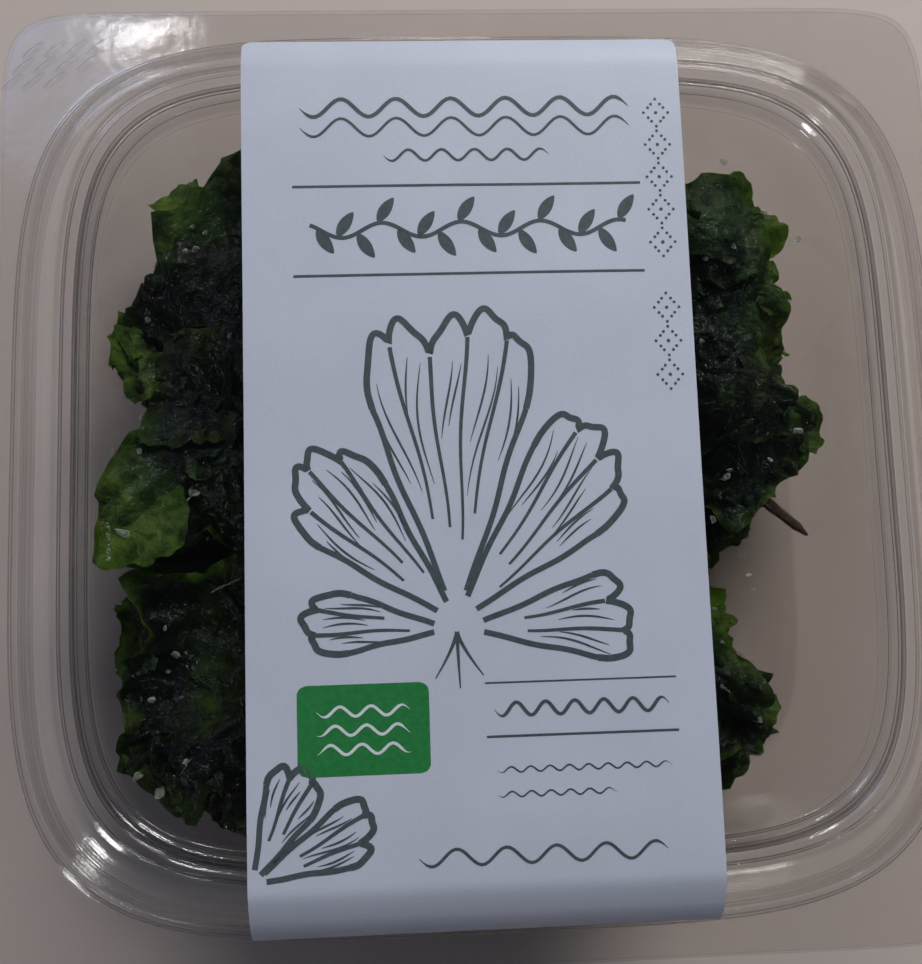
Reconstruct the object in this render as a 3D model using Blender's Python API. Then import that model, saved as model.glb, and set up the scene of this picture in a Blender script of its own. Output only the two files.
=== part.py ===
"""Sea lettuce with coarse salt, packed in a clear tub with a press-on lid and a paper band.

Metres, +Z up. The origin is the centre of the tub's underside, and +Y is the back of the tub,
where the top end of the paper band lies.
"""
from math import cos, hypot, pi, radians, sin

import bpy
from mathutils import Vector
from mathutils.bvhtree import BVHTree

# ---------------------------------------------------------------- driving dimensions
MM = 0.001
WINDOW_X, WINDOW_Y = 0.094, 0.091    # the lid's flat window, inside its bead
FLANGE = 0.120                       # both flanges are square
PLASTIC = 0.0005                     # sheet thickness of tub and lid
PAPER = 0.0003                       # thickness of the paper band
BLADE = 0.00066                      # thickness of a sea lettuce blade
GAP = 0.0003                         # clearance between pieces that touch

# Every loop of the rim is a superellipse. Its power falls from the window to the outer edge.
WINDOW_POWER = 5.2
POWER_FALL = 61.0                    # per metre of offset
RIM_SQUEEZE = 0.965                  # the rim is a little narrower along Y than along X
FLANGE_POWER = 17.0                  # leaves corners of about 8 mm radius
LOOP_POINTS = 56

# Mid-lines of the two sheets, in mm: offset outward from the window's edge, and height.
LID_LINE = ((-0.3, 26.2), (0.7, 27.2), (1.4, 27.6), (2.6, 27.55), (4.6, 27.05),
            (6.6, 26.05), (8.0, 24.9), (8.8, 23.5), (9.15, 21.8), (9.3, 20.05))
TUB_LINE = ((-6.2, 0.25), (-3.9, 0.8), (-2.2, 2.3), (-1.3, 4.6), (1.1, 24.4),
            (1.55, 26.0), (2.5, 26.75), (4.3, 26.3), (6.1, 25.35), (7.4, 24.2),
            (8.05, 22.9), (8.35, 21.0), (8.5, 19.25))

# The paper band runs along Y, off-centre, and folds down over the front of the rim.
BAND_LEFT, BAND_RIGHT = -0.0285, 0.0250
BAND_LINE = ((51.7, 26.85), (50.1, 27.7), (48.4, 28.15), (46.8, 28.2), (25.0, 28.15), (0.0, 28.1),
             (-25.0, 28.15), (-46.8, 28.2), (-49.0, 28.15), (-50.6, 27.5), (-52.3, 26.6),
             (-53.5, 25.6), (-54.3, 24.5))               # y and height of its underside, mm

# The clump seen from above, in mm, counter-clockwise from its back left corner.
CLUMP = ((-30.0, 42.3), (-40.0, 35.4), (-41.1, 33.1), (-39.6, 26.5), (-45.0, 21.0),
         (-45.9, 18.0), (-43.3, 8.0), (-46.3, -3.0), (-47.2, -10.0), (-43.6, -12.5),
         (-45.2, -16.2), (-44.3, -25.5), (-45.0, -35.0), (-42.4, -40.0), (-38.0, -43.3),
         (-20.0, -44.3), (27.8, -41.2), (34.5, -39.5), (35.4, -37.6), (32.7, -32.3),
         (34.8, -27.5), (29.8, -22.4), (27.8, -15.8), (30.7, -10.3), (39.7, -2.5),
         (42.6, 2.9), (39.2, 12.5), (40.8, 19.5), (37.4, 25.0), (39.0, 32.0),
         (33.8, 34.5), (33.4, 36.8), (26.8, 36.6), (0.0, 41.0))
WALL_CLEAR = 0.8                     # mm between a blade's edge and the tub's wall
FLOOR_LEAN, LEAN_PER_LAYER = -2.4, 0.8   # mm, the wall's offset from the window at each layer
REACH_STEP = 0.25                    # mm, the steps in which a blade's reach is tried

# Blades by layer, from the floor up: the middle of each one, in mm. Those of one layer lie side
# by side and share out the clump between them.
LAYERS = (((-22.0, 20.0), (21.0, 17.0), (-21.0, -22.0), (16.0, -22.0)),
          ((-30.0, -1.0), (-2.0, 25.0), (25.0, 4.0), (-1.0, -22.0)),
          ((-24.0, 27.0), (-29.0, -14.0), (3.0, 4.0), (25.0, 22.0), (14.0, -30.0)),
          ((-32.0, 9.0), (-24.0, -28.0), (-3.0, 20.0), (28.0, 9.0), (14.0, -22.0)))
RINGS = (0.28, 0.55, 0.8, 1.0)       # where a blade's rings lie between its middle and its edge
SPOKES = 28
SIDE_GAP = 1.2                       # mm between blades of one layer
FRILL = 1.75                         # mm, height of the six waves round a blade's edge
SWAY = 0.7                           # mm, height of its three broad waves

STALK = ((25.0, 1.8, 0.4), (30.4, -2.5, 0.0), (35.3, -6.8, 0.3), (39.8, -10.9, -0.2))   # mm
STALK_RADIUS = 0.65                  # mm at its thick end
STALK_LAYER = 3                      # it lies under the top layer

SLOPED_HALF = 0.45                   # mm, half a blade measured straight up where it is steep
DROP_FROM = 100.0                    # mm above the floor, where each blade starts its drop


# ---------------------------------------------------------------- scene and materials
def clear_scene():
    for old in list(bpy.data.objects):
        bpy.data.objects.remove(old, do_unlink=True)


def make_material(name, colour, roughness, alpha=1.0):
    material = bpy.data.materials.new(name)
    material.use_nodes = True
    shader = material.node_tree.nodes["Principled BSDF"]
    shader.inputs["Base Color"].default_value = (*colour, 1.0)
    shader.inputs["Roughness"].default_value = roughness
    shader.inputs["Metallic"].default_value = 0.0
    shader.inputs["Alpha"].default_value = alpha
    return material


def add_object(name, vertices, faces, material, smooth=None):
    """Make a mesh object. `smooth` is the angle in degrees past which an edge stays sharp."""
    mesh = bpy.data.meshes.new(name)
    mesh.from_pydata([tuple(v) for v in vertices], [], faces)
    mesh.materials.append(material)
    if smooth is not None:
        mesh.shade_smooth()
        mesh.set_sharp_from_angle(angle=radians(smooth))
    thing = bpy.data.objects.new(name, mesh)
    bpy.context.scene.collection.objects.link(thing)
    return thing


# ---------------------------------------------------------------- tub and lid
def superellipse(angle, half_x, half_y, power):
    reach = (abs(cos(angle) / half_x) ** power + abs(sin(angle) / half_y) ** power) ** (-1 / power)
    return reach * cos(angle), reach * sin(angle)


def rim_loop(angle, offset):
    """Point of the loop that runs `offset` metres outside the lid's window."""
    return superellipse(angle, WINDOW_X / 2 + offset, WINDOW_Y / 2 + offset * RIM_SQUEEZE,
                        WINDOW_POWER - POWER_FALL * offset)


def flange_loop(angle):
    return superellipse(angle, FLANGE / 2, FLANGE / 2, FLANGE_POWER)


def loop_angles(count):
    """Angles round the rim, closer together towards the four corners."""
    quarter = count // 4
    angles = []
    for corner in range(4):
        for step in range(quarter):
            side = 2 * step / quarter - 1
            angles.append((corner + 0.5) * pi / 2 + pi / 4 * side * abs(side) ** 0.5)
    return angles


def shifted(line, distance):
    """The open line moved sideways by `distance`, with its corners mitred."""
    points = [Vector(p) for p in line]
    points = [points[0] - Vector((1, 0))] + points + [points[-1] + Vector((1, 0))]
    moved = []
    for before, here, after in zip(points, points[1:], points[2:]):
        first, second = (here - before).normalized(), (after - here).normalized()
        normals = Vector((-first.y, first.x)), Vector((-second.y, second.x))
        middle = (normals[0] + normals[1]).normalized()
        moved.append(here + middle * distance / middle.dot(normals[0]))
    return moved


def sheet_shell(name, line, material):
    """A thin shell with a flat middle, the section `line`, and a square flange round it."""
    angles = loop_angles(LOOP_POINTS)
    half = PLASTIC / 2
    rings = []
    for side in (-1, 1):
        surface = [[(*rim_loop(a, p.x * MM), p.y * MM) for a in angles]
                   for p in shifted(line, side * half / MM)]
        flange_z = line[-1][1] * MM + side * half
        surface.append([(*flange_loop(a), flange_z) for a in angles])
        rings += surface if side < 0 else surface[::-1]
    vertices = [point for ring in rings for point in ring]
    count = len(angles)
    faces = [list(range(count))[::-1]]
    for ring in range(len(rings) - 1):
        for k in range(count):
            following = (k + 1) % count
            faces.append((ring * count + k, ring * count + following,
                          (ring + 1) * count + following, (ring + 1) * count + k))
    faces.append([(len(rings) - 1) * count + k for k in range(count)])
    return add_object(name, vertices, faces, material, smooth=38)


# ---------------------------------------------------------------- paper band
def paper_band(material):
    under = [Vector(p) for p in BAND_LINE]
    tangent = [(b - a).normalized() for a, b in zip(under, under[1:])]
    tangent = [tangent[0]] + [(a + b).normalized() for a, b in zip(tangent, tangent[1:])] + [tangent[-1]]
    over = [p + Vector((t.y, -t.x)) * PAPER / MM for p, t in zip(under, tangent)]
    outline = under + over[::-1]
    vertices = [(x, p.x * MM, p.y * MM) for x in (BAND_LEFT, BAND_RIGHT) for p in outline]
    count, last = len(outline), len(under) - 1
    faces = []
    for k in range(count):
        following = (k + 1) % count
        faces.append((k, count + k, count + following, following))
    for k in range(last):
        left_end = (k, k + 1, count - 2 - k, count - 1 - k)
        faces.append(left_end)
        faces.append([count + p for p in reversed(left_end)])
    return add_object("label_band", vertices, faces, material, smooth=30)


# ---------------------------------------------------------------- sea lettuce
def in_clump(x, y):
    inside = False
    for (x0, y0), (x1, y1) in zip(CLUMP, CLUMP[1:] + CLUMP[:1]):
        if (y0 > y) != (y1 > y) and x < x0 + (x1 - x0) * (y - y0) / (y1 - y0):
            inside = not inside
    return inside


def in_tub(x, y, layer):
    """Whether a point of that layer is clear of the wall, which leans out towards its top."""
    lean = FLOOR_LEAN + LEAN_PER_LAYER * layer
    half_x, half_y = (w / 2 / MM + lean - WALL_CLEAR for w in (WINDOW_X, WINDOW_Y))
    return abs(x / half_x) ** WINDOW_POWER + abs(y / half_y) ** WINDOW_POWER < 1


def reach(middle, angle, layer, neighbours):
    """How far a blade can spread from its middle before it meets the clump's edge or a neighbour."""
    distance = 0.0
    while True:
        distance += REACH_STEP
        x, y = middle[0] + distance * cos(angle), middle[1] + distance * sin(angle)
        crowded = any(hypot(x - n[0], y - n[1]) < distance + SIDE_GAP for n in neighbours)
        if crowded or not in_clump(x, y) or not in_tub(x, y, layer):
            return distance - REACH_STEP


def shared_fold(x, y):
    """Height of the folds that all the layers follow, in mm."""
    return (1.3 * sin(x / 4.6 + 1.3 * sin(y / 8.0)) + 1.1 * sin(y / 4.1 + 1.1 * sin(x / 7.0) + 1.0)
            + 0.5 * sin((x + y) / 2.9 + 0.5))


def blade_points(middle, layer, number, neighbours):
    """Points of one ruffled blade in mm: its middle, then ring after ring of spokes."""
    points = [(middle[0], middle[1], shared_fold(*middle))]
    reaches = [reach(middle, 2 * pi * k / SPOKES, layer, neighbours) for k in range(SPOKES)]
    for ring in RINGS:
        for k in range(SPOKES):
            angle = 2 * pi * k / SPOKES
            ragged = 1 - ring ** 3 * (0.055 * (1 + sin(5 * angle + 1.7 * number))
                                      + 0.04 * (1 + sin(11 * angle + 2.3 * number)))
            distance = reaches[k] * ring * ragged
            x, y = middle[0] + distance * cos(angle), middle[1] + distance * sin(angle)
            frill = FRILL * ring ** 2 * sin(6 * angle + 1.9 * number + 2.0 * ring)
            sway = SWAY * sin(3 * angle + number) * ring
            points.append((x, y, shared_fold(x, y) + frill + sway))
    return points


def blade_faces():
    faces = [(0, 1 + k, 1 + (k + 1) % SPOKES) for k in range(SPOKES)]
    for ring in range(len(RINGS) - 1):
        start = 1 + ring * SPOKES
        for k in range(SPOKES):
            following = (k + 1) % SPOKES
            a, b = start + k, start + following
            c, d = a + SPOKES, b + SPOKES
            faces += [(a, c, d), (a, d, b)] if (k + ring) % 2 else [(a, c, b), (b, c, d)]
    return faces


def probes(points, faces):
    """Places on a surface where its clearance is tried: its corners, and three on each edge."""
    edges = {tuple(sorted(pair)) for face in faces for pair in zip(face, face[1:] + face[:1])}
    places = [Vector(p) for p in points]
    for a, b in sorted(edges):
        places += [places[a].lerp(places[b], part) for part in (0.25, 0.5, 0.75)]
    return places


def room_between(upper, lower):
    """How far one surface can drop before it meets another, in mm. Each is (points, faces)."""
    room = DROP_FROM
    for own, other, way in ((upper, lower, -1), (lower, upper, 1)):
        tree = BVHTree.FromPolygons([Vector(p) for p in other[0]], other[1])
        for place in probes(*own):
            distance = tree.ray_cast(place, Vector((0, 0, way)))[3]
            if distance is not None:
                room = min(room, distance)
    return room


def settle(points, faces, half, pile):
    """Drop a surface on to the pile, which is a list of (points, faces, half thickness)."""
    lifted = [(x, y, z + DROP_FROM) for x, y, z in points]
    floor = TUB_LINE[0][1] + PLASTIC / 2 / MM
    drop = min(z for x, y, z in lifted) - floor - half - GAP / MM
    for other_points, other_faces, other_half in pile:
        room = room_between((lifted, faces), (other_points, other_faces))
        if room < DROP_FROM:
            drop = min(drop, room - half - other_half - GAP / MM)
    settled = [(x, y, z - drop) for x, y, z in lifted]
    pile.append((settled, faces, half))
    return settled


def add_blade(number, points, faces, material):
    blade = add_object(f"frond_{number:02d}", [[c * MM for c in p] for p in points], faces,
                       material, smooth=60)
    skin = blade.modifiers.new("thickness", "SOLIDIFY")
    skin.thickness = BLADE
    skin.offset = 0
    triangles = blade.modifiers.new("triangles", "TRIANGULATE")
    triangles.quad_method = "FIXED"


def stalk_surface():
    """The stalk as a tapered tube with six sides and pointed ends, in mm."""
    sides = 6
    line = [Vector(p) for p in STALK]
    run = (line[-1] - line[0]).normalized()
    across = Vector((0, 0, 1)).cross(run).normalized()
    up = run.cross(across)
    points = [line[0] - run * STALK_RADIUS]
    for k, place in enumerate(line):
        radius = STALK_RADIUS * (1 - 0.12 * k)
        points += [place + radius * (across * cos(turn) + up * sin(turn))
                   for turn in (2 * pi * side / sides for side in range(sides))]
    points.append(line[-1] + run * STALK_RADIUS / 2)
    last = len(points) - 1
    faces = []
    for side in range(sides):
        a, b = 1 + side, 1 + (side + 1) % sides
        faces.append((0, b, a))
        for k in range(len(line) - 1):
            faces.append((a + k * sides, b + k * sides, b + (k + 1) * sides, a + (k + 1) * sides))
        end = (len(line) - 1) * sides
        faces.append((last, a + end, b + end))
    return [tuple(p) for p in points], faces


def lay_clump(frond_material, stalk_material):
    pile = []
    faces = blade_faces()
    number = 0
    for layer, middles in enumerate(LAYERS):
        if layer == STALK_LAYER:
            points, stalk_faces = stalk_surface()
            points = settle(points, stalk_faces, 0, pile)
            add_object("stalk_fragment", [[c * MM for c in p] for p in points], stalk_faces,
                       stalk_material, smooth=60)
        for middle in middles:
            number += 1
            neighbours = [m for m in middles if m is not middle]
            points = blade_points(middle, layer, number, neighbours)
            points = settle(points, faces, SLOPED_HALF, pile)
            add_blade(number, points, faces, frond_material)


def main():
    clear_scene()
    plastic = make_material("clear_plastic", (0.80, 0.83, 0.84), 0.08, alpha=0.3)
    paper = make_material("label_paper", (0.53, 0.57, 0.64), 0.6)
    weed = make_material("sea_lettuce", (0.035, 0.09, 0.02), 0.25)
    bark = make_material("stalk", (0.045, 0.025, 0.018), 0.45)
    sheet_shell("tub", TUB_LINE, plastic)
    sheet_shell("lid", LID_LINE, plastic)
    paper_band(paper)
    lay_clump(weed, bark)


main()
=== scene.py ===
"""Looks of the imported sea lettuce: clear tub and lid, printed paper band, wet blades with salt."""
import math

import bmesh
import bpy
import numpy as np
from mathutils import Matrix, Vector
from mathutils.bvhtree import BVHTree


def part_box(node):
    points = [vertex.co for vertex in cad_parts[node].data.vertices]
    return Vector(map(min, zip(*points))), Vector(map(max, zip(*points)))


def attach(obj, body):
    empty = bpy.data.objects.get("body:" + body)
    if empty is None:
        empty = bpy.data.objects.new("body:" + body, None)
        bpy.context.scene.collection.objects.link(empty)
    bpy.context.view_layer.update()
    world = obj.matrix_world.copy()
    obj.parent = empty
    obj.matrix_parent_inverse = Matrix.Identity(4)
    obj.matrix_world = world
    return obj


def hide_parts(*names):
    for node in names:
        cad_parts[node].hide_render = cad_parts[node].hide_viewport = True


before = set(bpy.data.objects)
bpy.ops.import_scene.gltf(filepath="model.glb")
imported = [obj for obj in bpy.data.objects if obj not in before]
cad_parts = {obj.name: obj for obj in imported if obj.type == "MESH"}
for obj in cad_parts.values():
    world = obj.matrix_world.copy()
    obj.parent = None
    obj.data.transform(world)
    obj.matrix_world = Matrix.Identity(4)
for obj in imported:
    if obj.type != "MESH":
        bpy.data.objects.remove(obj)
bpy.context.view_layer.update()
MM = 0.001

# ---- the same sizes as the solids
WINDOW_X, WINDOW_Y, FLANGE, PAPER = 94.0, 91.0, 120.0, 0.3  # mm
WINDOW_POWER, POWER_FALL, RIM_SQUEEZE, FLANGE_POWER = 5.2, 0.061, 0.965, 17.0
BAND_LEFT, BAND_RIGHT = -28.5, 25.0
BAND_LINE = ((51.7, 26.85), (50.1, 27.7), (48.4, 28.15), (46.8, 28.2), (25.0, 28.15), (0.0, 28.1),
             (-25.0, 28.15), (-46.8, 28.2), (-49.0, 28.15), (-50.6, 27.5), (-52.3, 26.6),
             (-53.5, 25.6), (-54.3, 24.5))
CLUMP = ((-30.0, 42.3), (-40.0, 35.4), (-41.1, 33.1), (-39.6, 26.5), (-45.0, 21.0),
         (-45.9, 18.0), (-43.3, 8.0), (-46.3, -3.0), (-47.2, -10.0), (-43.6, -12.5),
         (-45.2, -16.2), (-44.3, -25.5), (-45.0, -35.0), (-42.4, -40.0), (-38.0, -43.3),
         (-20.0, -44.3), (27.8, -41.2), (34.5, -39.5), (35.4, -37.6), (32.7, -32.3),
         (34.8, -27.5), (29.8, -22.4), (27.8, -15.8), (30.7, -10.3), (39.7, -2.5),
         (42.6, 2.9), (39.2, 12.5), (40.8, 19.5), (37.4, 25.0), (39.0, 32.0),
         (33.8, 34.5), (33.4, 36.8), (26.8, 36.6), (0.0, 41.0))
WALL_CLEAR, FLOOR_LEAN, LEAN_PER_LAYER = 0.8, -2.4, 0.8
LAYERS = (((-22.0, 20.0), (21.0, 17.0), (-21.0, -22.0), (16.0, -22.0)),
          ((-30.0, -1.0), (-2.0, 25.0), (25.0, 4.0), (-1.0, -22.0)),
          ((-24.0, 27.0), (-29.0, -14.0), (3.0, 4.0), (25.0, 22.0), (14.0, -30.0)),
          ((-32.0, 9.0), (-24.0, -28.0), (-3.0, 20.0), (28.0, 9.0), (14.0, -22.0)))
SIDE_GAP, FRILL, SWAY = 1.2, 1.75, 0.7
LID_UNDER = 25.9  # mm, nothing of the clump rises past this

# ---- the camera, fitted to the view
SENSOR_MM, FOCAL_PX, IMAGE = 36.0, 1100.0, (922, 964)
CAMERA_AT = (-9.8, -19.7, 155.3)  # mm
TILT, YAW, ROLL = 7.27, -2.86, -1.91


def placed(name, data):
    thing = bpy.data.objects.new(name, data)
    bpy.context.scene.collection.objects.link(thing)
    return thing


def add_camera():
    data = bpy.data.cameras.new("camera")
    data.sensor_fit, data.sensor_height = "VERTICAL", SENSOR_MM
    data.lens = FOCAL_PX * SENSOR_MM / IMAGE[1]
    data.clip_start = 0.005
    camera = placed("camera", data)
    turn = (Matrix.Rotation(math.radians(YAW), 4, "Y") @ Matrix.Rotation(math.radians(TILT), 4, "X")
            @ Matrix.Rotation(math.radians(ROLL), 4, "Z"))
    camera.matrix_world = Matrix.Translation(Vector(CAMERA_AT) * MM) @ turn
    bpy.context.scene.camera = camera
    return camera


camera = add_camera()


def seen_at(px, py, z):
    """The point at height z (mm) that is seen at that pixel of the 922 x 964 image."""
    turn = camera.matrix_world.to_3x3()
    ray = turn @ Vector((px - IMAGE[0] / 2, IMAGE[1] / 2 - py, -FOCAL_PX))
    start = Vector(CAMERA_AT)
    return start + ray * ((z - start.z) / ray.z)


# ---- smooth noise, all seeded
LATTICE = np.random.default_rng(7).random((32, 32, 32))


def noise(points, size, seed=0):
    """Smooth noise from 0 to 1 at points (n, 3) in mm, with features of that size."""
    p = np.asarray(points, float) / size + np.array([seed * 5.17, seed * 3.31, seed * 7.7])
    i = np.floor(p).astype(int)
    f = p - i
    f = f * f * f * (f * (f * 6 - 15) + 10)
    total = 0.0
    for corner in np.ndindex(2, 2, 2):
        x, y, z = np.where(corner, f, 1 - f).T
        total = total + x * y * z * LATTICE[tuple((i + corner).T % 32)]
    return total


def creases(points, size, seed=0):
    """Ridged noise from 0 to 1: sharp crests between smooth hollows."""
    return 1 - np.abs(2 * noise(points, size, seed) - 1)


def unit(vectors):
    """Vectors (n, 2 or 3) of length 1."""
    return vectors / np.linalg.norm(vectors, axis=1)[:, None]


def turns(count):
    """Angles all round, evenly spaced."""
    return 2 * math.pi * np.arange(count) / count


def turned(x, y, angle):
    """The places turned round the origin."""
    return x * math.cos(angle) - y * math.sin(angle), x * math.sin(angle) + y * math.cos(angle)


# ---- meshes
def add_piece(name, points, faces, material, slot, smooth=None, floats=None):
    """A piece that rides on the pack, from points in mm. An edge sharper than the angle smooth, in
    degrees, stays sharp."""
    mesh = bpy.data.meshes.new(name)
    mesh.from_pydata((points * MM).tolist(), [], faces)
    mesh.materials.append(material)
    if smooth is not None:
        mesh.shade_smooth()
        if smooth < 180:
            mesh.set_sharp_from_angle(angle=math.radians(smooth))
    for key, values in (floats or {}).items():
        mesh.attributes.new(key, "FLOAT", "POINT").data.foreach_set("value", np.asarray(values, np.float32))
    piece = placed(name, mesh)
    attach(piece, "root")
    return piece


def joined(parts):
    """The points and faces of all parts as one mesh. A part starts with its points and its faces."""
    faces, first = [], 0
    for points, own, *_ in parts:
        faces += [tuple(first + v for v in face) for face in own]
        first += len(points)
    return np.vstack([part[0] for part in parts]), faces


def grid_faces(rows, columns, wrap=False):
    """Quads of a grid whose rows lie one after another. With wrap each row closes on itself."""
    faces = []
    for a in range(0, (rows - 1) * columns, columns):
        for c in range(columns if wrap else columns - 1):
            d = (c + 1) % columns
            faces.append((a + c, a + d, a + columns + d, a + columns + c))
    return faces


def slab(top, under, rows, columns):
    """A closed sheet between two such grids of points."""
    n, grid = rows * columns, grid_faces(rows, columns)
    rim = ([*range(columns)] + [r * columns + columns - 1 for r in range(1, rows)]
           + [(rows - 1) * columns + c for c in range(columns - 2, -1, -1)]
           + [r * columns for r in range(rows - 2, 0, -1)])
    faces = [f[::-1] for f in grid] + [tuple(n + v for v in f) for f in grid]
    faces += [(a, b, n + b, n + a) for a, b in zip(rim, rim[1:] + rim[:1])]
    return np.vstack([top, under]), faces


def capped_faces(rings, spokes):
    """Faces of a round sheet, all facing up: its rings from the middle out, and last its middle point."""
    middle, grid = rings * spokes, grid_faces(rings, spokes, wrap=True)
    return [f[:1] + f[:0:-1] for f in grid] + [(middle, c, (c + 1) % spokes) for c in range(spokes)]


def tube_rings(line, sides):
    """Directions (n, sides, 3) square to the line (n, 3), all round it, and the faces between them."""
    run = unit(np.gradient(line, axis=0))
    across = unit(np.cross([0, 0, 1], run))
    up = np.cross(run, across)
    turn = turns(sides)[:, None]
    rings = np.cos(turn) * across[:, None] + np.sin(turn) * up[:, None]
    return rings, grid_faces(len(line), sides, wrap=True)


def round_grid(spokes, steps):
    """Each point's ring and its angle, for a round sheet."""
    return np.meshgrid(steps, turns(spokes), indexing="ij")


def round_edge(angle, size, shift):
    """Places in the noise that follow a sheet's edge round."""
    angle = angle.reshape(-1)
    return np.stack([np.cos(angle) * size, np.sin(angle) * size, np.full_like(angle, shift)], 1)


# ---- materials

class Look:
    """The nodes of a material, or of the world. Each method adds a node and gives its output."""

    def __init__(self, name, kinds=None):
        self.owner = (bpy.data.materials if kinds is None else kinds).new(name)
        self.owner.use_nodes = True
        self.tree = self.owner.node_tree
        self.tree.nodes.clear()

    def node(self, kind, inputs=None, **settings):
        n = self.tree.nodes.new(kind)
        for key, value in settings.items():
            setattr(n, key, value)
        for key, value in (inputs or {}).items():
            if isinstance(value, bpy.types.NodeSocket):
                self.tree.links.new(value, n.inputs[key])
            else:
                n.inputs[key].default_value = value
        return n

    def add(self, kind, inputs=None, out=0, **settings):
        return self.node(kind, inputs, **settings).outputs[out]

    def math(self, operation, *values, clamp=False):
        return self.add("ShaderNodeMath", dict(enumerate(values)), operation=operation, use_clamp=clamp)

    def fit(self, value, by, plus, clamp=False):
        """The value times by, plus plus."""
        return self.math("MULTIPLY_ADD", value, by, plus, clamp=clamp)

    def mix(self, share, first, second, way="MIX"):
        """Two colours mixed, or one multiplied by or added to the other."""
        return self.add("ShaderNodeMix", {0: share, 6: first, 7: second}, 2, data_type="RGBA", blend_type=way)

    def ramp(self, value, *stops, ease=False):
        n = self.node("ShaderNodeValToRGB", {0: value})
        n.color_ramp.interpolation = "EASE" if ease else "LINEAR"
        while len(n.color_ramp.elements) < len(stops):
            n.color_ramp.elements.new(0.5)
        for element, (place, colour) in zip(n.color_ramp.elements, stops):
            element.position = place
            element.color = (*colour, 1)
        return n.outputs[0]

    def attribute(self, name):
        return self.add("ShaderNodeAttribute", out="Fac", attribute_name=name)

    def glance(self):
        """From 0 where the surface is seen straight on to 1 at its outline."""
        return self.add("ShaderNodeLayerWeight", {"Blend": 0.5}, "Facing")

    def speckle(self, scale, detail, distortion=0.0):
        """Noise that stays on the object."""
        return self.add("ShaderNodeTexNoise", {
            "Vector": self.add("ShaderNodeNewGeometry", out="Position"), "Scale": scale, "Detail": detail,
            "Distortion": distortion})

    def relief(self, height, strength, distance):
        return self.add("ShaderNodeBump", {"Height": height, "Strength": strength, "Distance": distance})

    def solid(self, colour, roughness, more=None):
        inputs = {"Base Color": colour, "Roughness": roughness}
        return self.add("ShaderNodeBsdfPrincipled", inputs | (more or {}))

    def clear(self, colour):
        return self.add("ShaderNodeBsdfTransparent", {"Color": colour})

    def either(self, share, first, second):
        return self.add("ShaderNodeMixShader", {0: share, 1: first, 2: second})

    def finished(self, surface, kind="ShaderNodeOutputMaterial"):
        self.node(kind, {"Surface": surface})
        return self.owner


def plastic_material():
    """Thin clear sheet: it lets light straight through and mirrors more at a glance. The attribute
    bend says how strongly a crease is painted with dark lines, as shade, and mirrors more; the flat
    panels carry an attribute of 1 that paints them darker, as the shade inside the tub."""
    look = Look("clear_plastic_sheet")
    facing, bend = look.glance(), look.attribute("bend")
    steep = look.math("MULTIPLY", look.math("POWER", facing, 4.0), look.fit(bend, 0.4, 0.5))
    mirror = look.math("ADD", steep, 0.035, clamp=True)
    waves = look.fit(look.speckle(800.0, 2.0), 0.17, look.speckle(95.0, 1.0))
    flange = look.ramp(facing, (0.0, (0.985, 0.98, 0.975)), (0.7, (0.96, 0.955, 0.95)),
                       (1.0, (0.88, 0.875, 0.87)))
    # painted shade: the flat panels are darker, for the shade that lies inside the tub
    panel = look.ramp(facing, (0.0, (0.89, 0.88, 0.87)), (0.7, (0.925, 0.92, 0.915)),
                      (1.0, (0.84, 0.835, 0.83)))
    # painted shade: dark lines in the creases, darker the more edge on they are seen
    crease = look.ramp(facing, (0.0, (0.95, 0.945, 0.945)), (0.22, (0.90, 0.895, 0.895)),
                       (0.42, (0.45, 0.45, 0.46)), (0.75, (0.27, 0.27, 0.28)))
    through = look.mix(bend, look.mix(look.attribute("panel_shade"), flange, panel), crease)
    gloss = look.add("ShaderNodeBsdfGlossy", {"Color": (1, 1, 1, 1), "Roughness": 0.10,
                                              "Normal": look.relief(waves, 0.3, 0.0005)})
    seen = look.either(mirror, look.clear(through), gloss)
    shade = look.clear((0.98, 0.98, 0.98, 1))
    return look.finished(look.either(look.add("ShaderNodeLightPath", out="Is Shadow Ray"), seen, shade))


def paper_material():
    look = Look("label_paper_sheet")
    fibre = look.speckle(2600.0, 3.0)
    cloud = look.fit(look.speckle(90.0, 3.0), 0.65, look.math("MULTIPLY", fibre, 0.35))
    colour = look.ramp(cloud, (0.3, (0.445, 0.48, 0.57)), (0.7, (0.495, 0.53, 0.63)))
    return look.finished(look.solid(colour, 0.46, {"Normal": look.relief(fibre, 0.35, 0.00005)}))


def ink_material(name, dark, light):
    look = Look(name)
    colour = look.ramp(look.speckle(1800.0, 2.0), (0.35, dark), (0.65, light))
    return look.finished(look.solid(colour, 0.5))


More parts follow.
